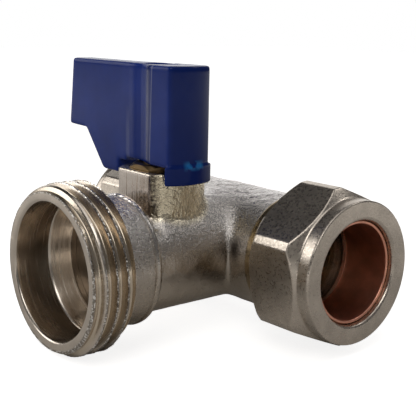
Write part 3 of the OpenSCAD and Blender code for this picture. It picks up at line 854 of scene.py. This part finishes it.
class TEEVALVE_OT_inner_pieces(bpy.types.Operator):
    """Finishes for the pieces that keep their solid's shape: ball, seats, retainer, stem, gland and lever screw"""

    bl_idname = "tee_valve.inner_pieces"
    bl_label = "Inner pieces"

    def execute(self, context):
        # painted shade: gland and stem are darkened as in their shade under the lever
        brass = metal_named("gland_brass_painted_shade", colours().brass, 0.32)
        steel = metal_named("plated_screw", (0.66, 0.67, 0.68), 0.32)
        white = seal_named("seat_plastic", (0.8, 0.8, 0.77), 0.45)
        finishes = {
            "gland_nut": brass,
            "stem": brass,
            "seat_retainer": metal_named("dull_brass", (0.25, 0.20, 0.15), 0.4),
            "ball": metal_named("polished_ball", (0.78, 0.78, 0.76), 0.14, 600.0, 0.002),
            "lever_screw": steel,
            "lever_washer": steel,
            "stem_o_ring": seal_named("ring_rubber", (0.02, 0.02, 0.02), 0.6),
            "inlet_seat": white,
            "outlet_seat": white,
            "thrust_washer": white,
            "gland_packing": white,
        }
        for node, material in finishes.items():
            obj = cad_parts[node]
            if not obj.material_slots:
                obj.data.materials.append(material)
            for slot in obj.material_slots:
                slot.material = material
        return {"FINISHED"}


class TEEVALVE_OT_stage(bpy.types.Operator):
    """The pale floor, the soft studio light and the camera at the photograph's place"""

    bl_idname = "tee_valve.stage"
    bl_label = "Stage"

    def execute(self, context):
        scene = context.scene
        scene.view_settings.view_transform = "Standard"
        self.floor()
        self.world(scene)
        self.lamps()
        self.camera(scene)
        return {"FINISHED"}

    def floor(self):
        """A wide floor under the outlet's thread. To the camera it is white but for the object's shadow, and far out
        it is the same white in the metal's reflections."""
        half, level = 1.2, -0.01324
        mesh = bpy.data.meshes.new("floor")
        corners = [(-half, -half, level), (half, -half, level), (half, half, level), (-half, half, level)]
        mesh.from_pydata(corners, [], [(0, 1, 2, 3)])
        obj = bpy.data.objects.new("floor", mesh)
        bpy.context.scene.collection.objects.link(obj)
        pale = Finish("pale_floor")
        pale.set("Base Color", (0.74, 0.72, 0.69, 1))
        pale.set("Roughness", 0.8)
        pale.set("Emission Color", (1, 1, 1, 1))
        camera, glossy, clear = pale.rays()
        far = pale.spread(pale.vector("LENGTH"), 0.09, 0.40)
        beyond = pale.times(far, pale.most(pale.most(glossy, clear), camera))
        pale.set("Emission Strength", pale.most(pale.times(camera, 0.84), beyond))
        mesh.materials.append(pale.material)

    def world(self, scene):
        """White to the camera and, behind the object, in reflections; what lights it is paler overhead, and in the
        metal's reflections it has a dark card high on the left."""
        world = scene.world or bpy.data.worlds.new("studio")
        scene.world = world
        world.use_nodes = True
        world.node_tree.nodes.clear()
        sky = Wiring(world.node_tree, "Generated")
        ramp = sky.nodes.new("ShaderNodeValToRGB")
        low, high = ramp.color_ramp.elements
        low.position, low.color = 0.0, (0.09, 0.088, 0.085, 1)
        high.position, high.color = 0.9, (0.15, 0.15, 0.16, 1)
        sky.feed(ramp.inputs["Fac"], sky.axes[2])
        camera, glossy, clear = sky.rays()
        high_left, behind = (-0.744, -0.018, 0.667), (-0.76, 0.65, 0.0)
        dark_card = sky.spread(sky.vector("DOT_PRODUCT", high_left), 0.88, 0.97, 0.0, 0.8)
        backdrop = sky.spread(sky.vector("DOT_PRODUCT", behind), 0.73, 0.86)
        light = sky.nodes.new("ShaderNodeBackground")
        sky.feed(light.inputs["Color"], ramp.outputs["Color"])
        sky.feed(light.inputs["Strength"], sky.without(sky.times(dark_card, glossy)))
        white = sky.nodes.new("ShaderNodeBackground")
        white.inputs["Color"].default_value = (1, 1, 1, 1)
        mix = sky.nodes.new("ShaderNodeMixShader")
        shown = sky.times(backdrop, sky.most(glossy, clear))
        for socket, source in zip(mix.inputs, (sky.most(shown, camera), light.outputs[0], white.outputs[0])):
            sky.feed(socket, source)
        out = sky.nodes.new("ShaderNodeOutputWorld")
        sky.feed(out.inputs["Surface"], mix.outputs[0])

    def lamps(self):
        """Soft boxes on the left and over the camera, a wide dim panel overhead and a small one behind, each facing
        the object. Places and sizes are in metres, power in watts."""
        middle = Vector((0, -0.012, 0.0))
        for name, place, width, height, power in (
            ("left_box", (-0.37, -0.31, 0.19), 0.32, 0.27, 0.66),
            ("front_box", (0.21, -0.30, 0.35), 0.24, 0.24, 0.50),
            ("top_panel", (0.05, -0.05, 0.60), 0.42, 0.42, 0.50),
            ("back_panel", (0.16, 0.33, 0.42), 0.13, 0.13, 0.15),
        ):
            data = bpy.data.lights.new(name, "AREA")
            data.shape = "RECTANGLE"
            data.size, data.size_y, data.energy = width, height, power
            obj = bpy.data.objects.new(name, data)
            obj.location = place
            obj.rotation_mode = "QUATERNION"
            obj.rotation_quaternion = (Vector(place) - middle).to_track_quat("Z", "Y")
            bpy.context.scene.collection.objects.link(obj)

    def camera(self, scene):
        """The camera as fitted to the photograph."""
        data = bpy.data.cameras.new("camera")
        data.sensor_width, data.lens = 36.0, 77.05
        data.clip_start, data.clip_end = 0.005, 10.0
        obj = bpy.data.objects.new("camera", data)
        right, up, back = (0.6459, 0.7631, 0.0204), (-0.1701, 0.1178, 0.9784), (0.7442, -0.6354, 0.2059)
        turn = Matrix((right, up, back)).transposed()
        obj.matrix_world = Matrix.Translation((0.11183, -0.10181, 0.0370)) @ turn.to_4x4()
        scene.collection.objects.link(obj)
        scene.camera = obj


class TEEVALVE_PT_panel(bpy.types.Panel):
    """Lists the valve's pieces"""

    bl_idname = "TEEVALVE_PT_panel"
    bl_label = "Tee valve"
    bl_space_type = "VIEW_3D"
    bl_region_type = "UI"
    bl_category = "Tee valve"

    def draw(self, context):
        for operator in OPERATORS:
            self.layout.operator(operator.bl_idname)
        for group in (context.scene.tee_valve_sizes, context.scene.tee_valve_colours):
            for key in group.__annotations__:
                self.layout.prop(group, key)


OPERATORS = (
    TEEVALVE_OT_stage,
    TEEVALVE_OT_casting,
    TEEVALVE_OT_outlet,
    TEEVALVE_OT_run_arms,
    TEEVALVE_OT_nuts,
    TEEVALVE_OT_olives,
    TEEVALVE_OT_lever,
    TEEVALVE_OT_inner_pieces,
)


def register():
    for cls in (ValveSizes, ValveColours, *OPERATORS, TEEVALVE_PT_panel):
        bpy.utils.register_class(cls)
    bpy.types.Scene.tee_valve_sizes = PointerProperty(type=ValveSizes)
    bpy.types.Scene.tee_valve_colours = PointerProperty(type=ValveColours)


def unregister():
    del bpy.types.Scene.tee_valve_colours
    del bpy.types.Scene.tee_valve_sizes
    for cls in (TEEVALVE_PT_panel, *reversed(OPERATORS), ValveColours, ValveSizes):
        bpy.utils.unregister_class(cls)


def main():
    """Registers the add-on and makes each piece in order."""
    register()
    for operator in OPERATORS:
        group, name = operator.bl_idname.split(".")
        if getattr(getattr(bpy.ops, group), name)() != {"FINISHED"}:
            raise RuntimeError(operator.bl_label + " could not be made")


if __name__ == "__main__":
    main()
